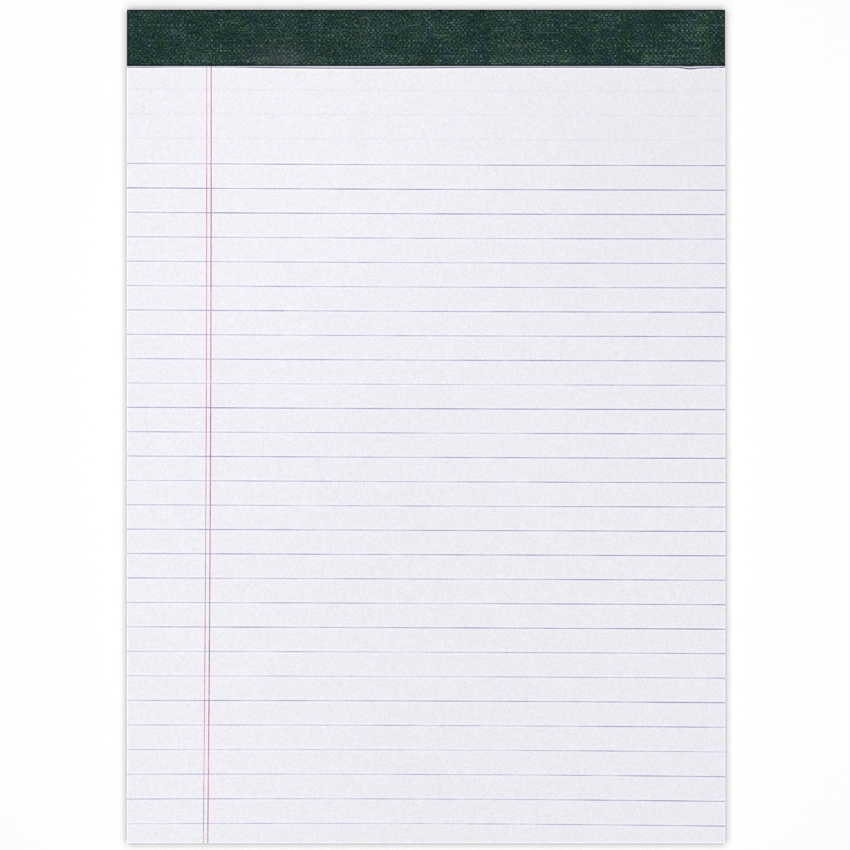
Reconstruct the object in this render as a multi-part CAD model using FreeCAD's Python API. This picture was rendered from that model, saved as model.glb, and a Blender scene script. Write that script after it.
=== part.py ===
import FreeCAD, Part
import math
import os

# Legal pad: ruled sheets on a chipboard back, wire-stitched through a perforated stub
# and bound over the head with one strip of cloth tape. All sizes are in millimetres.
# It lies on its back. X runs across the lines, Y towards the taped head and Z out of
# the written side. The origin is the centre of the footprint, at the lowest surface.

# Sheets
sheet_width = 215.7
torn_sheet_length = 279.8    # perforation to foot: the sheet that is torn off
stub_length = 20.6           # perforation to cut head: what stays in the binding
sheet_count = 50
sheet_thickness = 0.09
edge_stagger = 0.05          # every second sheet lies this far inside the cut sides
head_ease = 0.3              # radius that the tape presses on the cut head's corners

# Perforation across the sheets, slits with ties between them
slit_length = 1.3
tie_length = 0.5
slit_width = 0.15

# Backing board
board_thickness = 0.76

# Binding tape
tape_thickness = 0.2
tape_front = 20.1            # cut head to tape edge on the written side
tape_back = 18.5             # cut head to tape edge on the underside
tape_bed = 0.05              # the back leg is pressed this far into the board
weft_pitch = 0.92
weft_rise = 0.05

# Staples of flattened wire, with their tails clinched inwards under the board
wire_thickness = 0.5
wire_width = 0.7
inner_bend_radius = 0.6
crown_width = 12.7           # over the outsides of the two legs
crown_proud = 0.1            # the crown stands this far out of the top sheet
clinch_length = 3.5          # each tail, from the outside of its leg inwards
clinch_proud = 0.05          # the tails stand this far out of the board
staple_setback = 9.3         # cut head to the middle of the crown's wire
staple_inset = 25.0          # side of the pad to the middle of the crown
staple_hole_clearance = 0.02
swell_length = 20.0          # the cloth that a crown lifts, along it and across it
swell_width = 2.6

# Printed lines on the top sheet
ink_thickness = 0.02
rule_width = 0.3
rule_pitch = 8.8
head_margin = 35.1           # perforation to first rule, at mid width
least_foot_margin = 5.0
rule_drop = 0.85             # the ruling sinks this much from left to right
margin_width = 0.35
margin_inset = 28.8          # left side to the outer margin rule, at the head
margin_gap = 1.6             # between the axes of the two margin rules
margin_drift = 1.2           # the margin rules close in on the side towards the foot
overprint = 0.01             # the margin ink stands this far over the ink it crosses

# Levels and edges that follow from the sizes above
left = -sheet_width / 2
right = sheet_width / 2
foot_y = -(torn_sheet_length + stub_length + tape_thickness) / 2
perforation_y = foot_y + torn_sheet_length
head_y = perforation_y + stub_length
board_bottom = tape_thickness - tape_bed
board_top = board_bottom + board_thickness
paper_top = board_top + sheet_count * sheet_thickness
tape_top = paper_top + tape_thickness
staple_y = head_y - staple_setback
staple_middles = (left + staple_inset, right - staple_inset)


def at_left(y, z):
    return FreeCAD.Vector(left, y, z)


def line(start, end):
    return Part.LineSegment(start, end).toShape()


def extruded_across(edges):
    """A closed outline in the YZ plane at the left side, carried to the right side."""
    return Part.Face(Part.Wire(edges)).extrude(FreeCAD.Vector(sheet_width, 0, 0))


def quarter_turn(centre_y, centre_z, radius, start_angle, end_angle):
    """An arc in the YZ plane at the left side, by angles in degrees from +Y to +Z."""
    points = []
    for angle in (start_angle, (start_angle + end_angle) / 2, end_angle):
        turn = math.radians(angle)
        points.append(at_left(centre_y + radius * math.cos(turn),
                             centre_z + radius * math.sin(turn)))
    return Part.Arc(*points).toShape()


def head_corner_waste(corner_z, inward):
    """What the eased head corner at corner_z loses; inward is -1 under a top, 1 over a base."""
    centre_y = head_y - head_ease
    centre_z = corner_z + inward * head_ease
    return extruded_across([
        line(at_left(centre_y, corner_z), at_left(head_y, corner_z)),
        line(at_left(head_y, corner_z), at_left(head_y, centre_z)),
        quarter_turn(centre_y, centre_z, head_ease, 0, -90 * inward),
    ])


def slits():
    """The perforation's slits, through all sheets and the ink on them."""
    pitch = slit_length + tie_length
    count = int((sheet_width - tie_length) / pitch)
    first_x = -(count * pitch - tie_length) / 2
    depth = tape_top - board_top
    return [
        Part.makeBox(slit_length, slit_width, depth,
                     FreeCAD.Vector(first_x + index * pitch, perforation_y - slit_width / 2, board_top))
        for index in range(count)
    ]


def rounded_bar(middle_x, half_width, low_z, high_z, radius, depth):
    """A bar along Y at the staples' place, with rounded edges; half_width is along X."""
    bar = Part.makeBox(2 * half_width, depth, high_z - low_z,
                       FreeCAD.Vector(middle_x - half_width, staple_y - depth / 2, low_z))
    long_edges = [edge for edge in bar.Edges if abs(edge.tangentAt(0).y) > 0.5]
    return bar.makeFillet(radius, long_edges)


def bent_staples(grown=0):
    """Both staples, with each face of their wire moved out by grown, apart from the tips."""
    high_z = paper_top + crown_proud + grown
    low_z = tape_thickness - clinch_proud - grown
    half_width = crown_width / 2 + grown
    wall = wire_thickness + 2 * grown
    depth = wire_width + 2 * grown
    between_tips = crown_width - 2 * clinch_length
    staples = []
    for middle_x in staple_middles:
        outside = rounded_bar(middle_x, half_width, low_z, high_z,
                              inner_bend_radius + wire_thickness + grown, depth)
        inside = rounded_bar(middle_x, half_width - wall, low_z + wall, high_z - wall,
                             inner_bend_radius - grown, depth)
        opening = Part.makeBox(between_tips, depth, wall,
                               FreeCAD.Vector(middle_x - between_tips / 2, staple_y - depth / 2, low_z))
        staples.append(outside.cut([inside, opening]).Solids[0])
    return staples


def staple_holes():
    return bent_staples(staple_hole_clearance)


def paper_block():
    """The stacked sheets, perforated, with the holes and the troughs of the staples."""
    sheets = []
    for index in range(sheet_count):
        inset = edge_stagger * ((sheet_count - 1 - index) % 2)
        corner = FreeCAD.Vector(left + inset, foot_y + inset, board_top + index * sheet_thickness)
        sheets.append(Part.makeBox(sheet_width - 2 * inset, head_y - foot_y - inset,
                                   sheet_thickness, corner))
    block = sheets[0].fuse(sheets[1:]).removeSplitter()
    return block.cut([head_corner_waste(paper_top, -1)] + slits() + staple_holes())


def backing_board():
    """The chipboard back, with the bed of the tape's back leg pressed into its underside."""
    board = Part.makeBox(sheet_width, head_y - foot_y, board_thickness,
                         FreeCAD.Vector(left, foot_y, board_bottom))
    bed = Part.makeBox(sheet_width, tape_back, tape_bed,
                       FreeCAD.Vector(left, head_y - tape_back, board_bottom))
    return board.cut([bed, head_corner_waste(tape_thickness, 1)] + staple_holes())


def weft_ridges(start, end, inward):
    """Zigzag from crest to crest, one crest a weft thread, sinking inwards between them."""
    length = start.distanceToPoint(end)
    count = max(1, round(length / weft_pitch))
    points = [start]
    for index in range(count):
        points.append(start + (end - start) * ((index + 0.5) / count) + inward * weft_rise)
        points.append(start + (end - start) * ((index + 1) / count))
    return [line(a, b) for a, b in zip(points, points[1:])]


def wrapped_tape():
    """The tape's section, folded over the head and lying on both faces of the pad."""
    fold_y = head_y - head_ease
    upper_fold_z = paper_top - head_ease
    lower_fold_z = tape_thickness + head_ease
    outer_radius = head_ease + tape_thickness
    outer_y = head_y + tape_thickness
    front_edge_y = head_y - tape_front
    back_edge_y = head_y - tape_back
    up = FreeCAD.Vector(0, 0, 1)
    headward = FreeCAD.Vector(0, 1, 0)
    edges = weft_ridges(at_left(front_edge_y, tape_top), at_left(fold_y, tape_top), -up)
    edges.append(quarter_turn(fold_y, upper_fold_z, outer_radius, 90, 0))
    edges += weft_ridges(at_left(outer_y, upper_fold_z), at_left(outer_y, lower_fold_z), -headward)
    edges.append(quarter_turn(fold_y, lower_fold_z, outer_radius, 0, -90))
    edges += weft_ridges(at_left(fold_y, 0), at_left(back_edge_y, 0), up)
    edges.append(line(at_left(back_edge_y, 0), at_left(back_edge_y, tape_thickness)))
    edges.append(line(at_left(back_edge_y, tape_thickness), at_left(fold_y, tape_thickness)))
    edges.append(quarter_turn(fold_y, lower_fold_z, head_ease, -90, 0))
    edges.append(line(at_left(head_y, lower_fold_z), at_left(head_y, upper_fold_z)))
    edges.append(quarter_turn(fold_y, upper_fold_z, head_ease, 0, 90))
    edges.append(line(at_left(fold_y, paper_top), at_left(front_edge_y, paper_top)))
    edges.append(line(at_left(front_edge_y, paper_top), at_left(front_edge_y, tape_top)))
    return extruded_across(edges)


def arched_bar(middle, along, span, rise, length):
    """A bar with a flat base, middle at its centre, and an arched back of this span and rise."""
    up = FreeCAD.Vector(0, 0, 1)
    sideways = up.cross(along)
    near_end = middle - along * (length / 2)
    edges = [
        Part.Arc(near_end - sideways * (span / 2), near_end + up * rise,
                 near_end + sideways * (span / 2)).toShape(),
        line(near_end + sideways * (span / 2), near_end - sideways * (span / 2)),
    ]
    return Part.Face(Part.Wire(edges)).extrude(along * length)


def crown_swells():
    """The low pillows of cloth that the staples' crowns lift."""
    base_z = tape_top - weft_rise
    rise = crown_proud + weft_rise
    pillows = []
    for middle_x in staple_middles:
        middle = FreeCAD.Vector(middle_x, staple_y, base_z)
        lengthways = arched_bar(middle, FreeCAD.Vector(1, 0, 0), swell_width, rise, swell_length)
        crossways = arched_bar(middle, FreeCAD.Vector(0, 1, 0), swell_length, rise, swell_width)
        pillows.append(lengthways.common(crossways))
    return pillows


def binding_tape():
    """The wrapped tape, swollen over the crowns and hollowed where the wire lies."""
    return wrapped_tape().fuse(crown_swells()).cut(staple_holes())


def printed_line(start, end, width, thickness):
    """A straight strip of ink on the top sheet; its ends are cut along X or along Y."""
    steep = abs(end[1] - start[1]) > abs(end[0] - start[0])
    shift_x = width / 2 if steep else 0
    shift_y = 0 if steep else width / 2
    corners = [
        FreeCAD.Vector(start[0] - shift_x, start[1] - shift_y, paper_top),
        FreeCAD.Vector(end[0] - shift_x, end[1] - shift_y, paper_top),
        FreeCAD.Vector(end[0] + shift_x, end[1] + shift_y, paper_top),
        FreeCAD.Vector(start[0] + shift_x, start[1] + shift_y, paper_top),
    ]
    outline = Part.makePolygon(corners + corners[:1])
    return Part.Face(outline).extrude(FreeCAD.Vector(0, 0, thickness))


def rule_lines():
    first_y = perforation_y - head_margin
    room = torn_sheet_length - head_margin - least_foot_margin
    count = 1 + int(room / rule_pitch)
    lines = []
    for index in range(count):
        middle_y = first_y - index * rule_pitch
        lines.append(printed_line((left, middle_y + rule_drop / 2), (right, middle_y - rule_drop / 2),
                                  rule_width, ink_thickness))
    return lines


def margin_lines():
    """The two margin rules, cut where they cross the perforation and the rule lines."""
    cutters = slits() + rule_lines()
    lines = []
    for offset in (0, margin_gap):
        x = left + margin_inset + offset
        strip = printed_line((x, head_y - tape_front), (x - margin_drift, foot_y),
                             margin_width, ink_thickness + overprint)
        lines += strip.cut(cutters).Solids
    return lines


pieces = {
    "paper_block": paper_block().Solids,
    "backing_board": backing_board().Solids,
    "binding_tape": binding_tape().Solids,
    "staples": bent_staples(),
    "blue_rules": rule_lines(),
    "margin_rules": margin_lines(),
}

os.makedirs("parts", exist_ok=True)
for node, solids in pieces.items():
    shape = solids[0] if len(solids) == 1 else Part.makeCompound(solids)
    shape.exportStep("parts/" + node + ".step")
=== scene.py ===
import math

import bmesh
import bpy
import numpy as np
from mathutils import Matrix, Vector


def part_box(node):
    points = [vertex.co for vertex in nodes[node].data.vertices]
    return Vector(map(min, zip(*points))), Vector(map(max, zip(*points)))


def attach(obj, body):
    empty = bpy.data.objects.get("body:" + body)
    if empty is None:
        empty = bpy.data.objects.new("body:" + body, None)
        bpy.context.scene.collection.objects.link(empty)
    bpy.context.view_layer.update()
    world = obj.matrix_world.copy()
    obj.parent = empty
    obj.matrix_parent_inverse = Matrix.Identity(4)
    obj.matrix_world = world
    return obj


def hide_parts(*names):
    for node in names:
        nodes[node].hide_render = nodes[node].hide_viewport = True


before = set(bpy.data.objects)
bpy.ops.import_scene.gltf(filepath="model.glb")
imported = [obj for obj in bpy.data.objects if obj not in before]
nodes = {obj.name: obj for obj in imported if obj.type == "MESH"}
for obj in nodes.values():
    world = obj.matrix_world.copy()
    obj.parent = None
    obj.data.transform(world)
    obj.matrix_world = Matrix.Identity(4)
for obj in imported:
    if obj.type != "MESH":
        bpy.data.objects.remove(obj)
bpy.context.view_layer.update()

# Legal pad seen from straight above: ruled sheets, printed lines and a woven
# tape are worked out here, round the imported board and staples.
# Metres throughout; x to the right, y towards the taped head, z up.

mm = 0.001
blockLow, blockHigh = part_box("paper_block")
tapeLow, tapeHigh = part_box("binding_tape")
padLeft, padRight = blockLow.x, blockHigh.x
footY, headY = blockLow.y, blockHigh.y
boardTop, paperTop = blockLow.z, blockHigh.z
tapeThickness = tapeHigh.y - headY
threadEnds = 0.11 * mm                 # the tape's cut threads stand out this far
tapeFront = tapeLow.y - threadEnds
tapeTop = paperTop + tapeThickness
padWidth = padRight - padLeft
halfWidth = padWidth / 2


# Mesh helpers

def addPiece(name, points, faces, finishes, replaced, finishIndex=None, uv=None, marks=None):
    # points is (n, 3); faces is a list of index arrays, each with faces of one size
    sizes = np.concatenate([np.full(len(block), block.shape[1]) for block in faces])
    corners = np.concatenate([block.ravel() for block in faces]).astype(np.int32)
    mesh = bpy.data.meshes.new(name)
    mesh.vertices.add(len(points))
    mesh.vertices.foreach_set("co", np.asarray(points, np.float32).ravel())
    mesh.loops.add(len(corners))
    mesh.loops.foreach_set("vertex_index", corners)
    mesh.polygons.add(len(sizes))
    mesh.polygons.foreach_set("loop_start", np.concatenate([[0], np.cumsum(sizes)[:-1]]).astype(np.int32))
    for finish in finishes:
        mesh.materials.append(finish)
    if finishIndex is not None:
        mesh.polygons.foreach_set("material_index", finishIndex.astype(np.int32))
    if uv is not None:
        layer = mesh.uv_layers.new(name="threads")
        layer.data.foreach_set("uv", np.asarray(uv, np.float32)[corners].ravel())
    for markName, values in (marks or {}).items():
        mark = mesh.attributes.new(markName, "FLOAT", "POINT")
        mark.data.foreach_set("value", np.asarray(values, np.float32))
    mesh.update(calc_edges=True)
    mesh.validate()
    mesh.set_sharp_from_angle(angle=math.radians(40))
    piece = bpy.data.objects.new(name, mesh)
    bpy.context.scene.collection.objects.link(piece)
    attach(piece, "root")
    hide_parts(replaced)
    return piece


def gridFaces(indices):
    # quads between neighbouring rows and columns of an index grid
    quads = [indices[:-1, :-1], indices[1:, :-1], indices[1:, 1:], indices[:-1, 1:]]
    return np.stack(quads, -1).reshape(-1, 4)


def smoothStep(value, low, high):
    # 0 below low, 1 above high, 3 t squared less 2 t cubed between them
    t = np.clip((value - low) / (high - low), 0, 1)
    return t * t * (3 - 2 * t)


# Shader helpers

def startFinish(name, roughness, specular):
    finish = bpy.data.materials.new(name)
    finish.use_nodes = True
    shader = finish.node_tree.nodes["Principled BSDF"]
    shader.inputs["Roughness"].default_value = roughness
    shader.inputs["Specular IOR Level"].default_value = specular
    return finish, finish.node_tree, shader


def put(tree, kind, inputs, output=0, **settings):
    # adds a node; each input is a socket to link or a value to set
    made = tree.nodes.new("ShaderNode" + kind)
    for key, value in settings.items():
        setattr(made, key, value)
    for socket, value in inputs.items():
        if isinstance(value, bpy.types.NodeSocket):
            tree.links.new(value, made.inputs[socket])
        else:
            made.inputs[socket].default_value = value
    return made.outputs[output]


def calc(tree, operation, first, *others):
    # the first value taken through one operation with each other value in turn
    result = first
    for other in others or (0.0,):
        result = put(tree, "Math", {0: result, 1: other}, operation=operation)
    return result


def ramp(tree, value, low, high, outLow=0.0, outHigh=1.0):
    span = {"Value": value, "From Min": low, "From Max": high, "To Min": outLow, "To Max": outHigh}
    return put(tree, "MapRange", span, interpolation_type="SMOOTHSTEP")


def blendColours(tree, amount, first, second, way="MIX"):
    sockets = {0: amount}
    for index, colour in ((6, first), (7, second)):
        sockets[index] = colour if isinstance(colour, bpy.types.NodeSocket) else (*colour, 1)
    return put(tree, "Mix", sockets, output=2, data_type="RGBA", blend_type=way)


def shadeBy(tree, tone, value):
    grey = put(tree, "CombineColor", {0: value, 1: value, 2: value})
    return blendColours(tree, 1.0, tone, grey, "MULTIPLY")


def objectPlace(tree):
    return put(tree, "TexCoord", {}, output=3)


def axes(tree, vector):
    split = tree.nodes.new("ShaderNodeSeparateXYZ")
    tree.links.new(vector, split.inputs[0])
    return split.outputs[0], split.outputs[1], split.outputs[2]


def joined(tree, x, y, z=0.0):
    return put(tree, "CombineXYZ", {0: x, 1: y, 2: z})


def cloud(tree, vector, scale, detail=2.0, roughness=0.5):
    return put(tree, "TexNoise", {"Vector": vector, "Scale": scale, "Detail": detail, "Roughness": roughness})


def stretch(tree, vector, x, y, z):
    return put(tree, "Mapping", {"Vector": vector, "Scale": (x, y, z)})


def readMark(tree, name):
    return put(tree, "Attribute", {}, output=2, attribute_name=name)


def addBump(tree, shader, height, distance, strength=1.0):
    normal = put(tree, "Bump", {"Height": height, "Distance": distance, "Strength": strength})
    tree.links.new(normal, shader.inputs["Normal"])


# Camera, light and floor

view = {
    "lens": 200.0,
    "sensor": 36.0,
    "span": 306.55 * mm,                   # what the frame takes in at the sheets' top
    "aim": (-0.36 * mm, 0.48 * mm),
    "softbox": (-0.01, 0.01, 1.2),
    "softboxAcross": 1.33,
    "softboxPower": 15.15,
    "dome": 0.24,
    "domeTint": (0.985, 0.99, 1.0),
    "floorSide": 12.0,
    "floorTones": ((0.95, 0.95, 0.95), (0.965, 0.965, 0.965)),
}


def setStudio():
    lens = bpy.data.cameras.new("overheadLens")
    lens.lens = view["lens"]
    lens.sensor_width = view["sensor"]
    lens.clip_start, lens.clip_end = 0.05, 50
    camera = bpy.data.objects.new("overheadCamera", lens)
    distance = view["span"] * view["lens"] / view["sensor"]
    camera.location = (*view["aim"], paperTop + distance)
    bpy.context.scene.collection.objects.link(camera)
    bpy.context.scene.camera = camera

    box = bpy.data.lights.new("softbox", "AREA")
    box.shape, box.size, box.energy = "DISK", view["softboxAcross"], view["softboxPower"]
    softbox = bpy.data.objects.new("softbox", box)
    softbox.visible_camera = False
    softbox.location = view["softbox"]
    softbox.rotation_mode = "QUATERNION"
    softbox.rotation_quaternion = Vector(view["softbox"]).to_track_quat("Z", "Y")
    bpy.context.scene.collection.objects.link(softbox)

    world = bpy.data.worlds.new("paleDome")
    world.use_nodes = True
    sky = world.node_tree.nodes["Background"]
    sky.inputs["Color"].default_value = (*view["domeTint"], 1)
    sky.inputs["Strength"].default_value = view["dome"]
    bpy.context.scene.world = world
    bpy.context.scene.view_settings.view_transform = "Standard"

    side = view["floorSide"] / 2
    corners = [(-side, -side, 0), (side, -side, 0), (side, side, 0), (-side, side, 0)]
    mesh = bpy.data.meshes.new("floor")
    mesh.from_pydata(corners, [], [(0, 1, 2, 3)])
    finish, tree, shader = startFinish("paleFloor", 0.9, 0.1)
    tone = cloud(tree, objectPlace(tree), 3.0)
    tree.links.new(blendColours(tree, tone, *view["floorTones"]), shader.inputs["Base Color"])
    mesh.materials.append(finish)
    floor = bpy.data.objects.new("floor", mesh)
    bpy.context.scene.collection.objects.link(floor)
    print("studio set")


# The sheets

sheets = {
    "count": 50,
    "stub": 20.6 * mm,            # cut head to perforation
    "creaseUp": 0.018 * mm,       # the fold runs this much nearer the head than the stub's length says
    "ease": 0.3 * mm,             # radius of the pressed head corner
    "stubRows": np.array([3.0, 8.0, 12.0, 16.0, 19.4]) * mm,
    "aboveRows": np.array([-0.50, -0.40]) * mm,       # from the fold, away from the foot
    "foldRows": np.array([0.3, 0.55, 1.0, 1.5]),      # as shares of the fold's half width
    "belowRows": np.array([0.42, 0.55, 0.7, 1.0, 1.5, 2.3, 3.8, 6.4, 10.0]) * mm,
    "slit": 1.3 * mm,
    "tie": 0.5 * mm,
    "slitEnd": 0.08 * mm,
    "slitFloor": 0.06 * mm,       # the slits stop this far over the board
    "slitShare": 0.55,            # of the crease's half width
    "creaseDepth": 0.15 * mm,     # the fold that runs through slits and ties
    "creaseHalf": 0.172 * mm,
    "lip": 0.05 * mm,             # the sheet springs up this much below the crease
    "lipLength": 0.9 * mm,
    "swell": 0.05 * mm,           # slow waves of the top sheet
    "rowStep": 6 * mm,
    "stagger": 0.08 * mm,
    "seed": 5,
}
# the crease from left to right: place from the middle in mm, how far it is pulled open
creaseOpen = [(-108, 0.7), (-99, 0.9), (-90, 0.35), (-82, 0.3), (-70, 0.3), (-57, 1.65), (7, 1.65),
              (16, 1.25), (80, 1.25), (83.5, 1.5), (87, 1.35), (95.3, 2.6), (99, 1.8), (103, 1.8),
              (104.8, 0.6), (107, 1.5)]
# where it strays towards the foot: place from the middle, half width and drop, in mm
creaseDips = [(-25, 36, 0.34), (83.5, 2.5, 0.14), (95.2, 2.7, 0.56), (101, 4, 0.22), (-105, 6, 0.05)]
perforationY = headY - sheets["stub"] + sheets["creaseUp"]


def pageHeight(x, y):
    # slow waves: three crossed sines, faded out at the binding, never under paperTop
    fade = smoothStep(perforationY - y, 0, 25 * mm)
    wave = (np.sin(x / (31 * mm) + 0.7) * np.cos(y / (47 * mm) + 0.4)
            + 0.6 * np.sin(x / (19 * mm) - y / (38 * mm))
            + 0.5 * np.cos(y / (23 * mm) + x / (70 * mm)))
    return paperTop + sheets["swell"] * fade * (1 + wave / 2.1)


def creaseOpenness(x):
    # straight between the given places
    places, amounts = np.array(creaseOpen).T
    return np.interp(x, places * mm, amounts)


def creaseStray(x):
    # a sum of bell curves, one for each dip
    places, widths, drops = np.array(creaseDips).T * mm
    return (drops * np.exp(-((x[..., None] - places) / widths) ** 2)).sum(-1)


def slitColumns():
    # for each slit its two ends and the middle of the tie after it, then both sides of the pad
    pitch = sheets["slit"] + sheets["tie"]
    count = int((padWidth - sheets["tie"]) / pitch)
    starts = -(count * pitch - sheets["tie"]) / 2 + pitch * np.arange(count)
    slitEnds = [sheets["slitEnd"], sheets["slit"] - sheets["slitEnd"]]
    offsets = np.array(slitEnds + [sheets["slit"] + sheets["tie"] / 2])
    across = np.add.outer(starts, offsets).ravel()[:-1]
    inSlit = np.tile([1.0, 1.0, 0.0], count)[:-1]
    return np.concatenate([[padLeft], across, [padRight]]), np.concatenate([[0.0], inSlit, [0.0]])


def pageSurface():
    # top surface on rows by columns: eased head, level stub, fold at the perforation, waves to the foot;
    # rows near the fold lie at shares of its half width, which changes from column to column
    across, inSlit = slitColumns()
    openness = creaseOpenness(across)
    half = sheets["creaseHalf"] * (0.45 + 0.55 * openness)
    shares = sheets["foldRows"]
    level = np.ones_like(half)
    above = np.outer(sheets["aboveRows"], level)
    below = np.outer(sheets["belowRows"], level)
    fold = np.outer(np.concatenate([-shares[::-1], [0], shares]), half)
    crease = np.concatenate([above, fold, below])

    turn = np.linspace(0, math.pi / 2, 5)
    easeY = headY - sheets["ease"] * (1 - np.cos(turn))
    easeDrop = sheets["ease"] * (1 - np.sin(turn))
    upperY = np.concatenate([easeY, headY - sheets["stubRows"]])
    lastCreaseY = perforationY - crease[-1, 0]
    steps = int(round((lastCreaseY - footY) / sheets["rowStep"]))
    bodyY = np.linspace(lastCreaseY, footY, steps + 1)[1:]
    y = np.concatenate([np.outer(upperY, level), perforationY - crease, np.outer(bodyY, level)])
    away = perforationY - y
    x = np.broadcast_to(across, y.shape)

    hold = np.exp(-(np.maximum(away, 0) / (4 * mm)) ** 2) * smoothStep(away, -0.55 * mm, -0.25 * mm)
    y = y - hold * creaseStray(across)
    z = pageHeight(x, y)
    z[:len(easeY)] -= easeDrop[:, None]
    closing = np.clip(1 - np.abs(away) / half, 0, 1)
    z = z - closing * sheets["creaseDepth"] * np.minimum(openness, 1.2)
    slit = np.clip(1 - np.abs(away) / (sheets["slitShare"] * half), 0, 1) * inSlit
    z = z - slit * (paperTop - sheets["creaseDepth"] * 1.2 - boardTop - sheets["slitFloor"])
    spring = np.clip(away / half, 0, 1) * np.exp(-np.maximum(away, 0) / sheets["lipLength"])
    z = z + spring * sheets["lip"]
    points = np.stack([x, y, z], -1)
    return {"points": points, "closing": closing, "away": away, "openness": openness, "half": half}


def cutStapleRoom(piece, clearance=0.02 * mm):
    # takes the staples, with every point moved outwards, out of a closed piece round them
    mould = nodes["staples"].data.copy()
    shell = bmesh.new()
    shell.from_mesh(mould)
    bmesh.ops.remove_doubles(shell, verts=shell.verts, dist=0.001 * mm)
    shell.to_mesh(mould)
    shell.free()
    mould.update()
    count = len(mould.vertices)
    points, outwards = np.zeros(count * 3, np.float32), np.zeros(count * 3, np.float32)
    mould.vertices.foreach_get("co", points)
    mould.vertices.foreach_get("normal", outwards)
    mould.vertices.foreach_set("co", points + outwards * clearance)
    cutter = bpy.data.objects.new("stapleRoom", mould)
    bpy.context.scene.collection.objects.link(cutter)
    room = piece.modifiers.new("stapleRoom", "BOOLEAN")
    room.object, room.operation, room.solver = cutter, "DIFFERENCE", "EXACT"
    bpy.context.view_layer.update()
    cut = bpy.data.meshes.new_from_object(piece.evaluated_get(bpy.context.evaluated_depsgraph_get()))
    piece.modifiers.clear()
    piece.data = cut
    bpy.data.objects.remove(cutter)


def buildSheets(pageFinish, edgeFinish):
    # the top surface, then a wall round three sides in steps, one step a sheet, each sheet cut a
    # little differently; the head and the underside are closed by flat faces
    surface = pageSurface()
    top = surface["points"]
    rows, columns = top.shape[:2]
    topIndex = np.arange(rows * columns).reshape(rows, columns)
    rim = np.concatenate([topIndex[:, 0], topIndex[-1, 1:], topIndex[-2::-1, -1]])
    rimPoints = top.reshape(-1, 3)[rim]
    place = np.arange(len(rim))
    outX = np.where(place < rows, -1.0, np.where(place >= rows + columns - 2, 1.0, 0.0))
    outY = np.where((place >= rows - 1) & (place <= rows + columns - 2), -1.0, 0.0)

    random = np.random.default_rng(sheets["seed"])
    along = np.concatenate([[0], np.cumsum(np.linalg.norm(np.diff(rimPoints[:, :2], axis=0), axis=1))])
    count = sheets["count"]
    shift = random.random((count, 1))
    phase = random.random((count, 2)) * 2 * math.pi
    wander = 1 + np.sin(along / (60 * mm) + phase[:, :1]) * np.cos(along / (23 * mm) + phase[:, 1:])
    inset = sheets["stagger"] * (0.7 * shift + 0.25 * wander)
    inset[0] = 0
    # two rings for each joint between sheets: the upper sheet's lower edge, the lower one's upper edge
    ringLevel = 1 - np.repeat(np.arange(1, count + 1), 2)[:-1, None] / count
    ringInset = np.repeat(inset, 2, axis=0)[1:]
    x = rimPoints[:, 0] - outX * ringInset
    y = rimPoints[:, 1] - outY * ringInset
    z = boardTop + ringLevel * (rimPoints[:, 2] - boardTop)
    rings = np.stack([x, y, z], -1)
    ringIndex = rows * columns + np.arange(rings.shape[0] * len(rim)).reshape(rings.shape[0], len(rim))
    wall = np.concatenate([rim[None, :], ringIndex])
    head = np.concatenate([topIndex[0, ::-1], wall[1:, 0], wall[::-1, -1][:-1]])
    faces = [gridFaces(topIndex), gridFaces(wall), head[None, ::-1], wall[-1][None, ::-1]]
    finishIndex = np.concatenate([np.full(len(block), index) for block, index in zip(faces, (0, 1, 1, 1))])
    points = np.concatenate([top.reshape(-1, 3), rings.reshape(-1, 3)])

    away = surface["away"]
    onTop = {
        # where the painted shade in the perforation's fold goes
        "fold": surface["closing"] * np.minimum(surface["openness"], 1.0),
        # where the stub's painted shade goes
        "stub": smoothStep(-away, 0, 0.1 * mm),
        # where the painted highlight below the crease goes
        "lip": np.exp(-((away - surface["half"] - 0.32 * mm) / (0.2 * mm)) ** 2),
    }
    extra = np.zeros(len(points) - rows * columns)
    marks = {name: np.concatenate([values.ravel(), extra]) for name, values in onTop.items()}
    piece = addPiece("sheets", points, faces, [pageFinish, edgeFinish], "paper_block",
                     finishIndex=finishIndex, marks=marks)
    cutStapleRoom(piece)
    print("sheets:", len(piece.data.polygons), "faces")


# The printed lines

ruling = {
    "first": 35.20 * mm,          # perforation to first line at the middle of the sheet
    "pitch": 8.8 * mm,
    "leastFoot": 5.0 * mm,
    "width": 0.34 * mm,
    "press": 0.42,
    "rightPress": 0.38,           # added towards the right, between these two places
    "rightFrom": (20 * mm, 62 * mm),
    "slope": 0.43 * mm,           # drop from the middle to the right side
    "headBow": -0.135 * mm,
    "footBow": 0.636 * mm,        # added to the bow by the last line, by the cube of the way down
    "feed": (3.111 * mm, -4.1 * mm, 0.962 * mm, 0.025 * mm),    # unsteady feed, by powers of the way down
    "points": 240,
    "seed": 11,
}
margin = {
    "inset": 28.76 * mm,          # left side to the outer line at the head
    "gap": 1.6 * mm,
    "drift": 1.22 * mm,           # towards the side, at the foot
    "driftStart": 35 * mm,        # below the tape's edge
    "widths": (0.33 * mm, 0.40 * mm),
    "press": (0.39, 0.53),
    "paleHead": 0.3,              # taken from the outer line's press near the tape
    "paleFrom": (45 * mm, 20 * mm),
    "seed": 12,
}
ink = {
    "rise": 0.014 * mm,
    "sink": 0.012 * mm,
    "ownPress": 0.17,
    "wavePress": 0.14,
    "waves": (13 * mm, 4.3 * mm),
}
ruledLength = perforationY - footY - ruling["first"] - ruling["leastFoot"]
ruleCount = 1 + int(ruledLength / ruling["pitch"])


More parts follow.
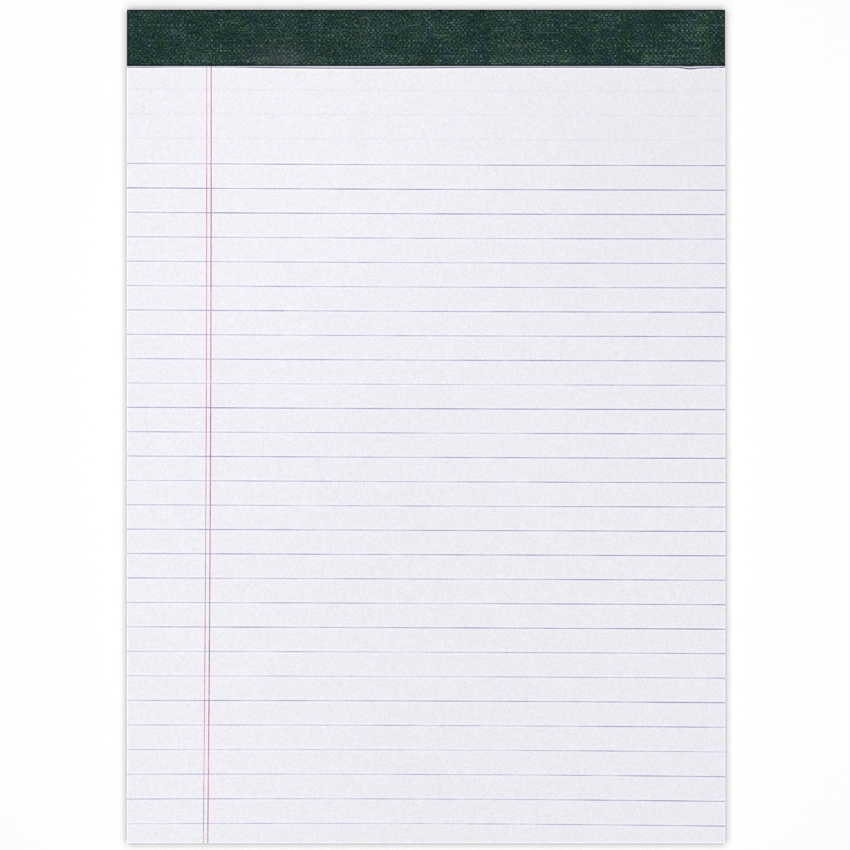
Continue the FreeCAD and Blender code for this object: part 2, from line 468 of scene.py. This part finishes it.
def ruleFall(x, wayDown):
    # slope times place, plus bow times its square, the bow growing with the cube of the way down, plus
    # the feed's polynomial of the way down
    u = x / halfWidth
    bow = ruling["headBow"] + ruling["footBow"] * wayDown ** 3
    return ruling["slope"] * u + bow * u * u + np.polyval(ruling["feed"], wayDown)


def ribbons(x, y, width, side, extraRise=0.0):
    # closed strips with a four-cornered section: each row of centre points moved half the width to
    # either side, sunk a little and raised a little; side is the unit vector across the strip
    lines, count = x.shape
    z = pageHeight(x, y)
    offsets = np.array([(-0.5, -ink["sink"]), (0.5, -ink["sink"]),
                        (0.5, ink["rise"] + extraRise), (-0.5, ink["rise"] + extraRise)])
    points = np.stack([
        x[..., None] + side[0] * width[..., None] * offsets[:, 0],
        y[..., None] + side[1] * width[..., None] * offsets[:, 0],
        z[..., None] + offsets[:, 1],
    ], -1)
    index = np.arange(lines * count * 4).reshape(lines, count, 4)
    ring = np.concatenate([index, index[:, :, :1]], 2)
    quads = [ring[:, :-1, :-1], ring[:, :-1, 1:], ring[:, 1:, 1:], ring[:, 1:, :-1]]
    skin = np.stack(quads, -1).reshape(-1, 4)
    ends = np.concatenate([index[:, 0, ::-1], index[:, -1]])
    faces = np.concatenate([skin, ends])
    return points.reshape(-1, 3), faces


def unevenPress(random, along, lines):
    # how strongly each line printed: a level of its own and two sines along it, about zero
    own = random.normal(0, 1, (lines, 1))
    phase = random.random((lines, 2)) * 2 * math.pi
    slow, quick = ink["waves"]
    waves = np.sin(along / slow + phase[:, :1]) + np.sin(along / quick + phase[:, 1:])
    return ink["ownPress"] * own + ink["wavePress"] * waves


def buildRules(finish):
    count = ruleCount
    wayDown = (np.arange(count) / (count - 1))[:, None]
    x = np.linspace(padLeft, padRight, ruling["points"])[None, :] * np.ones((count, 1))
    y = perforationY - ruling["first"] - np.arange(count)[:, None] * ruling["pitch"] - ruleFall(x, wayDown)
    press = unevenPress(np.random.default_rng(ruling["seed"]), x, count)
    width = ruling["width"] * (1 + 0.4 * press)
    points, faces = ribbons(x, y, width, (0, 1))
    strength = ruling["press"] + press + ruling["rightPress"] * smoothStep(x, *ruling["rightFrom"])
    addPiece("blueRules", points, [faces], [finish], "blue_rules",
             marks={"press": np.repeat(strength.ravel(), 4)})
    print("rule lines:", count)


def buildMargin(finish):
    # follows the rows of the sheets, so that it dips with the crease
    top = pageSurface()["points"]
    nearMargin = top.shape[1] // 8
    rowX, rowY, rowZ = top[:, nearMargin].T
    keep = rowY < tapeFront
    y = np.concatenate([[tapeFront], rowY[keep]])
    lift = np.concatenate([[0.0], (rowZ - pageHeight(rowX, rowY))[keep]])
    lift = np.maximum(lift, -sheets["creaseDepth"])
    start = tapeFront - margin["driftStart"]
    down = np.clip((start - y) / (start - footY), 0, 1)
    x = padLeft + margin["inset"] + np.array([[0.0], [margin["gap"]]]) - margin["drift"] * down ** 2
    y = np.broadcast_to(y, x.shape)
    press = unevenPress(np.random.default_rng(margin["seed"]), y, 2)
    width = np.array(margin["widths"])[:, None] * (1 + 0.2 * press)
    points, faces = ribbons(x, y, width, (1, 0), extraRise=0.008 * mm)
    points[:, 2] += np.repeat(np.broadcast_to(lift, x.shape).ravel(), 4)
    strength = np.array(margin["press"])[:, None] + 0.6 * press
    paleLow, paleHigh = margin["paleFrom"]
    strength[0] -= margin["paleHead"] * smoothStep(y[0], tapeFront - paleLow, tapeFront - paleHigh)
    addPiece("marginRules", points, [faces], [finish], "margin_rules",
             marks={"press": np.repeat(strength.ravel(), 4)})
    print("margin lines: 2")


# The binding tape

tape = {
    "warp": 0.807 * mm,           # thread pitch across the pad
    "weft": 0.92 * mm,            # thread pitch along the pad
    "relief": 0.06 * mm,
    "crownLength": 12.7 * mm,
    "crownInset": 25.0 * mm,
    "crownSetback": 9.3 * mm,
    "crownRise": 0.09 * mm,
    "crownWide": 0.85 * mm,
    "crownEnds": 1.6 * mm,
    "bendReach": 1.0 * mm,        # the weave lies flatter within this of a bend
}


def nodePoints(name):
    mesh = nodes[name].data
    points = np.zeros(len(mesh.vertices) * 3, np.float32)
    mesh.vertices.foreach_get("co", points)
    return points.reshape(-1, 3)


def tapeSection():
    # outline from the front edge over the head to the back edge, with arc length and normals:
    # flat, quarter turn, flat, quarter turn, flat
    radius = sheets["ease"] + tapeThickness
    corner = headY - sheets["ease"]
    shape = nodePoints("binding_tape")
    backEdge = shape[shape[:, 2] < tapeThickness / 2, 1].min()
    bend = radius * math.pi / 2
    stops = np.cumsum([0, corner - tapeFront, bend, tapeTop - 2 * radius, bend, corner - backEdge])
    total = stops[-1]
    s = np.linspace(0, total, 2 * int(round(total / tape["weft"])) + 1)
    angle = (np.clip((s - stops[1]) / bend, 0, 1) + np.clip((s - stops[3]) / bend, 0, 1)) * math.pi / 2
    normal = np.stack([np.sin(angle), np.cos(angle)], -1)
    stretches = [s < stops[1], s < stops[2], s < stops[3], s < stops[4]]
    turned = corner + radius * np.sin(angle)
    y = np.select(stretches, [tapeFront + s, turned, np.full_like(s, headY + tapeThickness), turned],
                  backEdge + (total - s))
    z = np.select(stretches, [np.full_like(s, tapeTop), tapeTop - radius + radius * np.cos(angle),
                              tapeTop - radius - (s - stops[2]), radius + radius * np.cos(angle)], 0.0)
    return {"outline": np.stack([y, z], -1), "normal": normal, "s": s, "stops": stops, "backEdge": backEdge}


def crownLift(x, s, stops):
    # a rounded bar raised over each staple crown: bell curves off its axis and past its ends
    lift = np.zeros(np.broadcast_shapes(x.shape, s.shape))
    across = (s - (stops[1] + sheets["ease"] - tape["crownSetback"])) / tape["crownWide"]
    for middle in (padLeft + tape["crownInset"], padRight - tape["crownInset"]):
        away = np.maximum(np.abs(x - middle) - tape["crownLength"] / 2, 0) / tape["crownEnds"]
        lift += np.exp(-across ** 2) * np.exp(-away ** 2)
    return lift * tape["crownRise"]


def buildTape():
    # plain weave: the cloth rises where |cos(pi x / warp) cos(pi s / weft)| is large, on a grid of
    # half a thread; then the smooth inner face, and both cut sides closed by one flat face
    section = tapeSection()
    s, stops, outline, normal = section["s"], section["stops"], section["outline"], section["normal"]
    columns = 2 * int(round(padWidth / tape["warp"])) + 1
    x = np.linspace(padLeft, padRight, columns)
    warpStep = 2 * (x[1] - x[0])
    weftStep = 2 * s[1]
    u, v = np.meshgrid(x, s)
    crossing = np.abs(np.cos(math.pi * (u - padLeft) / warpStep) * np.cos(math.pi * v / weftStep))
    bent = np.clip(1 - np.abs(v - stops[1:5, None, None]).min(0) / tape["bendReach"], 0, 1)
    sink = tape["relief"] * (1 - crossing) * (1 - 0.5 * bent)
    height = crownLift(u, v, stops) - sink
    outer = np.stack([u, outline[:, None, 0] + normal[:, None, 0] * height,
                      outline[:, None, 1] + normal[:, None, 1] * height], -1)

    ease = sheets["ease"]
    corner = headY - ease
    turn = np.linspace(0, math.pi / 2, 4)
    innerY = np.concatenate([[section["backEdge"]], corner + ease * np.sin(turn),
                             corner + ease * np.sin(turn[::-1]), [tapeFront]])
    innerZ = np.concatenate([[tapeThickness], tapeThickness + ease * (1 - np.cos(turn)),
                             paperTop - ease * (1 - np.cos(turn[::-1])), [paperTop]])
    inner = np.stack(np.broadcast_arrays(x[None, :], innerY[:, None], innerZ[:, None]), -1)
    points = np.concatenate([outer, inner])
    rows = points.shape[0]
    index = np.arange(rows * columns).reshape(rows, columns)
    ring = np.concatenate([index, index[:1]])
    faces = [gridFaces(ring)[:, ::-1], index[:, 0][None, :], index[:, -1][None, ::-1]]
    innerS = s[-1] + np.linspace(0.2 * mm, s[-1], len(innerY))
    uv = np.stack(np.broadcast_arrays(x[None, :] - padLeft, np.concatenate([s, innerS])[:, None]), -1)
    piece = addPiece("bindingTape", points.reshape(-1, 3), faces, [clothFinish(warpStep, weftStep, stops)],
                     "binding_tape", uv=uv.reshape(-1, 2))
    cutStapleRoom(piece)
    print("tape:", rows, "by", columns)


# Finishes

paper = {
    "tones": ((0.853, 0.839, 0.893), (0.869, 0.856, 0.908)),
    "hueShare": 0.10,            # how much the tint varies from place to place
    "headPaintedFalloff": (1.046, 0.972),   # painted light falloff: lighter at the left, a little greyer towards the right side
    "footPaintedFalloff": (1.028, 0.987),   # the same painted falloff, less so at the foot, where it sets in sooner
    "speck": (0.91, 1.085),       # range of the finest grain
    "thread": (0.99, 1.008),
    "rim": 1.17,                  # painted highlight along the cut edges
    "besideRule": (1.04, 1.036, 1.08),        # the paper is paler and bluer along the rules
    "besideMargin": (1.085, 1.015, 1.035),    # and pinker along the margin lines
    "ruleGlow": (0.62 * mm, 0.20 * mm),       # distance from the line's axis, and reach
    "marginGlow": (0.55 * mm, 0.20 * mm),
    # painted highlight on the sheet's lip below the crease
    "lip": 0.14,
    # painted shade of the tape's edge on the stub, tinted lavender
    "stub": (0.715, 0.735, 0.965),
    # painted shade in the perforation's fold
    "crease": (0.145, 0.135, 0.265),
    "ghost": (0.42, 0.42, 0.52),
    "ghostShare": 0.11,
    "ghostShift": 0.36 * mm,      # the other side is printed a little nearer the head
}


def ghostLines(tree, place):
    # the other side's ruling, which shows faintly above the first line and stops before the stub
    x, y, z = axes(tree, place)
    u = calc(tree, "DIVIDE", x, halfWidth)
    fall = calc(tree, "ADD", calc(tree, "MULTIPLY", u, ruling["slope"]),
                calc(tree, "MULTIPLY", u, u, ruling["headBow"]))
    level = calc(tree, "ADD", y, fall, ruling["first"] - perforationY - paper["ghostShift"])
    turns = calc(tree, "FRACT", calc(tree, "ADD", calc(tree, "DIVIDE", level, ruling["pitch"]), 0.5))
    line = ramp(tree, calc(tree, "ABSOLUTE", calc(tree, "SUBTRACT", turns, 0.5)), 0.012, 0.040, 1.0, 0.0)
    overFirst = ramp(tree, level, 0.4 * ruling["pitch"], 0.6 * ruling["pitch"])
    underStub = ramp(tree, level, 3.4 * ruling["pitch"], 3.5 * ruling["pitch"], 1.0, 0.0)
    return calc(tree, "MULTIPLY", line, overFirst, underStub, paper["ghostShare"])


def besideLine(tree, away, distance, reach):
    # a bell curve of the distance from a line's axis, 1 at the given distance
    off = calc(tree, "DIVIDE", calc(tree, "SUBTRACT", away, distance), reach)
    return calc(tree, "EXPONENT", calc(tree, "MULTIPLY", off, off, -1.0))


def limited(tree, value):
    return calc(tree, "MINIMUM", calc(tree, "MAXIMUM", value, 0.0), 1.0)


def besideRules(tree, x, y):
    # along both sides of each rule, whose fall is the one of ruleFall
    u = calc(tree, "DIVIDE", x, halfWidth)
    flat = calc(tree, "DIVIDE", calc(tree, "SUBTRACT", perforationY - ruling["first"], y), ruling["pitch"])
    wayDown = limited(tree, calc(tree, "DIVIDE", flat, ruleCount - 1))
    cube = calc(tree, "MULTIPLY", wayDown, wayDown, wayDown)
    bow = calc(tree, "ADD", calc(tree, "MULTIPLY", cube, ruling["footBow"]), ruling["headBow"])
    fall = calc(tree, "ADD", calc(tree, "MULTIPLY", u, ruling["slope"]), calc(tree, "MULTIPLY", u, u, bow))
    feed = ruling["feed"][0]
    for term in ruling["feed"][1:]:
        feed = calc(tree, "ADD", calc(tree, "MULTIPLY", wayDown, feed), term)
    level = calc(tree, "SUBTRACT", flat, calc(tree, "DIVIDE", calc(tree, "ADD", fall, feed), ruling["pitch"]))
    turns = calc(tree, "FRACT", calc(tree, "ADD", level, 0.5))
    away = calc(tree, "MULTIPLY", calc(tree, "ABSOLUTE", calc(tree, "SUBTRACT", turns, 0.5)), ruling["pitch"])
    return calc(tree, "MULTIPLY", besideLine(tree, away, *paper["ruleGlow"]), ramp(tree, level, -0.5, -0.4))


def besideMargin(tree, x, y):
    # along both sides of both margin lines, which drift as in buildMargin
    start = tapeFront - margin["driftStart"]
    down = limited(tree, calc(tree, "DIVIDE", calc(tree, "SUBTRACT", start, y), start - footY))
    drift = calc(tree, "MULTIPLY", down, down, margin["drift"])
    middle = padLeft + margin["inset"] + margin["gap"] / 2
    fromMiddle = calc(tree, "ABSOLUTE", calc(tree, "SUBTRACT", calc(tree, "ADD", x, drift), middle))
    away = calc(tree, "ABSOLUTE", calc(tree, "SUBTRACT", fromMiddle, margin["gap"] / 2))
    return besideLine(tree, away, *paper["marginGlow"])


def paperFinish():
    finish, tree, shader = startFinish("pagePaper", 0.9, 0.15)
    place = objectPlace(tree)
    x, y, z = axes(tree, place)
    grain = cloud(tree, place, 3400, 1, 0.6)
    fibre = cloud(tree, stretch(tree, place, 1100, 600, 600), 1, 3, 0.6)
    patch = cloud(tree, place, 38, 3, 0.55)
    hues = put(tree, "TexNoise", {"Vector": place, "Scale": 450, "Detail": 3, "Roughness": 0.7}, output=1)
    tone = blendColours(tree, patch, *paper["tones"])
    tone = blendColours(tree, paper["hueShare"], tone, hues, "MULTIPLY")
    speck = ramp(tree, grain, 0.30, 0.70, *paper["speck"])
    thread = ramp(tree, fibre, 0.25, 0.75, *paper["thread"])
    # painted light falloff across the sheet: lighter at the left side, greyer at the right
    headPaintedFalloff = ramp(tree, x, -0.6 * halfWidth, padRight, *paper["headPaintedFalloff"])
    footPaintedFalloff = ramp(tree, x, padLeft, 0.1 * halfWidth, *paper["footPaintedFalloff"])
    wayDown = ramp(tree, y, -0.33 * headY, 0.87 * headY, 1.0, 0.0)
    change = calc(tree, "MULTIPLY", calc(tree, "SUBTRACT", footPaintedFalloff, headPaintedFalloff), wayDown)
    paintedFalloff = calc(tree, "ADD", headPaintedFalloff, change)
    fromMiddle = calc(tree, "ABSOLUTE", x)
    # painted highlight on the paper along the cut sides and the foot
    sideRimHighlight = ramp(tree, fromMiddle, halfWidth - 0.40 * mm, halfWidth - 0.30 * mm, 1.0, paper["rim"])
    footRimHighlight = ramp(tree, y, footY + 0.30 * mm, footY + 0.40 * mm, paper["rim"], 1.0)
    tone = shadeBy(tree, tone, calc(tree, "MULTIPLY", speck, thread, paintedFalloff, sideRimHighlight, footRimHighlight))
    tone = blendColours(tree, besideRules(tree, x, y), tone, paper["besideRule"], "MULTIPLY")
    tone = blendColours(tree, besideMargin(tree, x, y), tone, paper["besideMargin"], "MULTIPLY")
    tone = blendColours(tree, ghostLines(tree, place), tone, paper["ghost"])
    # painted highlight: the paper made paler just below the crease
    tone = shadeBy(tree, tone, ramp(tree, readMark(tree, "lip"), 0, 1, 1.0, 1.0 + paper["lip"]))
    # painted shade on the stub beside the tape, darker and lavender
    tone = blendColours(tree, calc(tree, "MULTIPLY", readMark(tree, "stub"), 0.85), tone, paper["stub"])
    # painted shade in the fold at the perforation, over the groove and slits that are built
    tone = blendColours(tree, ramp(tree, readMark(tree, "fold"), 0.05, 0.7, 0.0, 0.95), tone, paper["crease"])
    tree.links.new(tone, shader.inputs["Base Color"])
    addBump(tree, shader, calc(tree, "ADD", grain, fibre), 0.02 * mm, 0.5)
    return finish


shadedSheetEdges = {
    "tones": ((0.54, 0.53, 0.58), (0.66, 0.65, 0.69)),
    "gap": (0.32, 0.31, 0.36),
}


def sheetEdgeFinish():
    # fine lines between the sheets and slow darker patches along the cut, over a grey of painted shade,
    # darker than the page's own paper
    finish, tree, shader = startFinish("shadedSheetEdges", 0.9, 0.15)
    place = objectPlace(tree)
    x, y, z = axes(tree, place)
    sheetThickness = (paperTop - boardTop) / sheets["count"]
    turns = calc(tree, "FRACT", calc(tree, "DIVIDE", calc(tree, "SUBTRACT", z, boardTop), sheetThickness))
    gap = ramp(tree, calc(tree, "ABSOLUTE", calc(tree, "SUBTRACT", turns, 0.5)), 0.34, 0.5)
    dust = cloud(tree, stretch(tree, place, 500, 500, 9000), 1, 3, 0.6)
    band = cloud(tree, stretch(tree, place, 20, 20, 900), 1, 2)
    tone = blendColours(tree, band, *shadedSheetEdges["tones"])
    shade = calc(tree, "MULTIPLY", gap, ramp(tree, dust, 0.3, 0.7, 0.25, 0.75))
    tone = blendColours(tree, shade, tone, shadedSheetEdges["gap"])
    tree.links.new(tone, shader.inputs["Base Color"])
    addBump(tree, shader, calc(tree, "SUBTRACT", dust, gap), 0.02 * mm, 0.7)
    return finish


inkTones = {                      # where hardly printed, then the two hues where printed fully
    "blue": ((0.64, 0.63, 0.73), ((0.25, 0.28, 0.43), (0.31, 0.25, 0.42))),
    "red": ((0.61, 0.46, 0.57), ((0.28, 0.14, 0.26), (0.35, 0.13, 0.23))),
}


def inkFinish(name, pale, strongs):
    # stronger where the line was pressed more, broken up by the paper's grain, fading out here and
    # there, its hue wandering between two strong ones
    finish, tree, shader = startFinish(name, 0.85, 0.12)
    place = objectPlace(tree)
    grain = cloud(tree, place, 1900, 2)
    speck = ramp(tree, grain, 0.35, 0.65, -0.16, 0.16)
    fade = ramp(tree, cloud(tree, stretch(tree, place, 85, 300, 85), 1, 2), 0.56, 0.70, 0.0, -0.38)
    hue = ramp(tree, cloud(tree, stretch(tree, place, 150, 300, 150), 1, 3, 0.6), 0.35, 0.65)
    strength = limited(tree, calc(tree, "ADD", readMark(tree, "press"), speck, fade))
    tone = blendColours(tree, strength, pale, blendColours(tree, hue, *strongs))
    tree.links.new(tone, shader.inputs["Base Color"])
    addBump(tree, shader, grain, 0.01 * mm, 0.4)
    return finish


cloth = {
    "grounds": ((0.0006, 0.0136, 0.0120), (0.0014, 0.0150, 0.0090)),    # bluish and yellowish patches
    "paleFibreWearAndHighlight": ((0.097, 0.170, 0.182), (0.112, 0.187, 0.142)),
    "roughness": 0.85,
    "specular": 0.05,
    "sheen": 0.05,
    "outline": 0.05,              # painted shade: how much is left of the tone at the cut sides and the fold over the head
    # painted shade along the tape's front edge
    "frontPaintedShade": 0.45,
    "rubbed": 1.30,               # how much paler the cloth is towards its front edge
    "scuffPlace": (54.5 * mm, 2.9 * mm),
    "scuffReach": (14 * mm, 4.5 * mm),
    "scuffTone": (0.17, 0.18, 0.21),
    "scuffShare": 0.18,
}


def clothScuff(tree, u, v):
    # a rubbed place near the front edge, left of the middle: a bell curve over its reach
    middleU, middleV = cloth["scuffPlace"]
    reachU, reachV = cloth["scuffReach"]
    du = calc(tree, "DIVIDE", calc(tree, "SUBTRACT", u, middleU), reachU)
    dv = calc(tree, "DIVIDE", calc(tree, "SUBTRACT", v, middleV), reachV)
    square = calc(tree, "ADD", calc(tree, "MULTIPLY", du, du), calc(tree, "MULTIPLY", dv, dv))
    return calc(tree, "EXPONENT", calc(tree, "MULTIPLY", square, -2.5))


def clothEdgeShade(tree, u, v, foldAt):
    # painted shade: how much of the tone is left, less than 1 by the front edge, the two sides and the head's
    # fold
    dark = cloth["outline"]
    front = ramp(tree, v, 0.5 * mm, 0.8 * mm, cloth["frontPaintedShade"], 1.0)
    sideLeft = ramp(tree, u, 0.3 * mm, 0.62 * mm, dark, 1.0)
    sideRight = ramp(tree, u, padWidth - 0.62 * mm, padWidth - 0.3 * mm, 1.0, dark)
    fromFold = calc(tree, "ABSOLUTE", calc(tree, "SUBTRACT", v, foldAt))
    fold = ramp(tree, fromFold, 0.36 * mm, 0.56 * mm, dark, 1.0)
    return calc(tree, "MULTIPLY", front, sideLeft, sideRight, fold)


def threadCloud(tree, first, firstScale, second, secondScale):
    # soft noise over two values, each with a scale of its own
    a = calc(tree, "MULTIPLY", first, firstScale)
    b = calc(tree, "MULTIPLY", second, secondScale)
    return cloud(tree, joined(tree, a, b), 1, 1)


def clothFinish(warpStep, weftStep, stops):
    # two sets of threads over and under: pale where a weft thread is on top, in a draughtboard, each
    # crossing with a brightness of its own; the pale crowns are partly wear and partly painted highlight
    finish, tree, shader = startFinish("bindingCloth", cloth["roughness"], cloth["specular"])
    shader.inputs["Sheen Roughness"].default_value = 0.5
    place = put(tree, "UVMap", {}, uv_map="threads")
    u, v, w = axes(tree, place)
    warp = calc(tree, "DIVIDE", u, warpStep)
    weft = calc(tree, "DIVIDE", v, weftStep)
    warpTurn = calc(tree, "COSINE", calc(tree, "MULTIPLY", warp, math.pi))
    weftTurn = calc(tree, "COSINE", calc(tree, "MULTIPLY", weft, math.pi))
    weave = calc(tree, "MULTIPLY", warpTurn, weftTurn)
    warpNumber = calc(tree, "ROUND", warp)
    weftNumber = calc(tree, "ROUND", weft)

    # each crossing, each thread, and slow patches over both
    ownTone = put(tree, "TexWhiteNoise", {"Vector": joined(tree, warpNumber, weftNumber)})
    perWarp = threadCloud(tree, warpNumber, 7.3, v, 70)
    perWeft = threadCloud(tree, u, 75, weftNumber, 5.7)
    slub = threadCloud(tree, u, 110, weftNumber, 9.1)
    patch = cloud(tree, place, 60, 4, 0.68)
    hue = cloud(tree, place, 170, 3, 0.6)
    fuzz = cloud(tree, place, 1700, 2, 0.6)
    rowTone = put(tree, "TexWhiteNoise", {"W": weftNumber}, noise_dimensions="1D")

    # pale crossing dots: partly wear, partly painted highlight on the thread crowns
    dot = ramp(tree, weave, 0.05, 0.95)
    dotStrength = calc(tree, "ADD", calc(tree, "MULTIPLY", calc(tree, "POWER", ownTone, 2.2), 0.66), 0.08)
    evenRow = calc(tree, "ABSOLUTE", calc(tree, "COSINE", calc(tree, "MULTIPLY", weftNumber, math.pi / 2)))
    threadStrength = calc(tree, "MULTIPLY", ramp(tree, perWeft, 0.3, 0.7, 0.5, 1.5),
                          ramp(tree, perWarp, 0.3, 0.7, 0.8, 1.2), ramp(tree, rowTone, 0, 1, 0.85, 1.15),
                          ramp(tree, evenRow, 0, 1, 0.68, 1.28))
    dots = calc(tree, "MULTIPLY", dot, dotStrength, threadStrength)
    thinWeft = calc(tree, "POWER", calc(tree, "ABSOLUTE", weftTurn), 3.0)
    streak = calc(tree, "MULTIPLY", ramp(tree, slub, 0.60, 0.72), thinWeft, 0.34)
    hair = ramp(tree, fuzz, 0.28, 0.72, -0.18, 0.39)
    wear = ramp(tree, v, 2.0 * mm, 6.0 * mm, cloth["rubbed"], 1.0)
    amount = calc(tree, "MULTIPLY", calc(tree, "ADD", dots, streak, hair), wear,
                  ramp(tree, patch, 0.30, 0.70, 0.60, 1.38))
    ground = blendColours(tree, ramp(tree, hue, 0.35, 0.65), *cloth["grounds"])
    pale = blendColours(tree, ramp(tree, hue, 0.35, 0.65), *cloth["paleFibreWearAndHighlight"])
    tone = blendColours(tree, limited(tree, amount), ground, pale)

    rubbedFuzz = ramp(tree, fuzz, 0.3, 0.7, 0.4, 1.3)
    rub = calc(tree, "MULTIPLY", clothScuff(tree, u, v), rubbedFuzz, cloth["scuffShare"])
    tone = blendColours(tree, rub, tone, cloth["scuffTone"])
    foldAt = (stops[1] + stops[2]) / 2
    # painted shade along the tape's edges and the head's fold, which also dims the specular and sheen
    outline = clothEdgeShade(tree, u, v, foldAt)
    tone = shadeBy(tree, tone, outline)
    tree.links.new(calc(tree, "MULTIPLY", outline, cloth["specular"]), shader.inputs["Specular IOR Level"])
    tree.links.new(calc(tree, "MULTIPLY", outline, cloth["sheen"]), shader.inputs["Sheen Weight"])
    tree.links.new(tone, shader.inputs["Base Color"])
    addBump(tree, shader, calc(tree, "ADD", fuzz, calc(tree, "ABSOLUTE", weave)), 0.03 * mm, 0.5)
    return finish


board = {
    "lumps": ((0.275, 0.235, 0.190), (0.345, 0.300, 0.245)),
    "fibre": (0.43, 0.39, 0.33),
    "fleck": (0.11, 0.09, 0.075),
}


def boardFinish():
    # grey-brown chipboard: short fibres, dark flecks and paler lumps
    finish, tree, shader = startFinish("chipboard", 0.92, 0.15)
    place = objectPlace(tree)
    lump = cloud(tree, place, 160, 4, 0.6)
    fibre = cloud(tree, stretch(tree, place, 700, 2600, 1500), 1, 3, 0.65)
    fleck = cloud(tree, stretch(tree, place, 1500, 900, 1500), 1, 1)
    tone = blendColours(tree, ramp(tree, lump, 0.3, 0.7), *board["lumps"])
    tone = blendColours(tree, ramp(tree, fibre, 0.35, 0.7, 0.0, 0.55), tone, board["fibre"])
    tone = blendColours(tree, ramp(tree, fleck, 0.68, 0.76, 0.0, 0.6), tone, board["fleck"])
    tree.links.new(tone, shader.inputs["Base Color"])
    addBump(tree, shader, calc(tree, "ADD", fibre, lump), 0.03 * mm, 0.8)
    return finish


wire = {
    "tones": ((0.48, 0.49, 0.51), (0.63, 0.64, 0.66)),
    "roughness": (0.28, 0.45),
}


def wireFinish():
    # galvanised wire, drawn marks along it
    finish, tree, shader = startFinish("galvanisedWire", 0.35, 0.5)
    shader.inputs["Metallic"].default_value = 1.0
    place = objectPlace(tree)
    bloom = cloud(tree, place, 900, 3)
    drawn = cloud(tree, stretch(tree, place, 300, 9000, 9000), 1, 2)
    tree.links.new(blendColours(tree, bloom, *wire["tones"]), shader.inputs["Base Color"])
    tree.links.new(ramp(tree, bloom, 0.3, 0.7, *wire["roughness"]), shader.inputs["Roughness"])
    addBump(tree, shader, drawn, 0.01 * mm, 0.5)
    return finish


def dressNode(name, finish):
    mesh = nodes[name].data
    mesh.materials.clear()
    mesh.materials.append(finish)


setStudio()
buildSheets(paperFinish(), sheetEdgeFinish())
buildRules(inkFinish("ruleInk", *inkTones["blue"]))
buildMargin(inkFinish("marginInk", *inkTones["red"]))
buildTape()
dressNode("backing_board", boardFinish())
dressNode("staples", wireFinish())
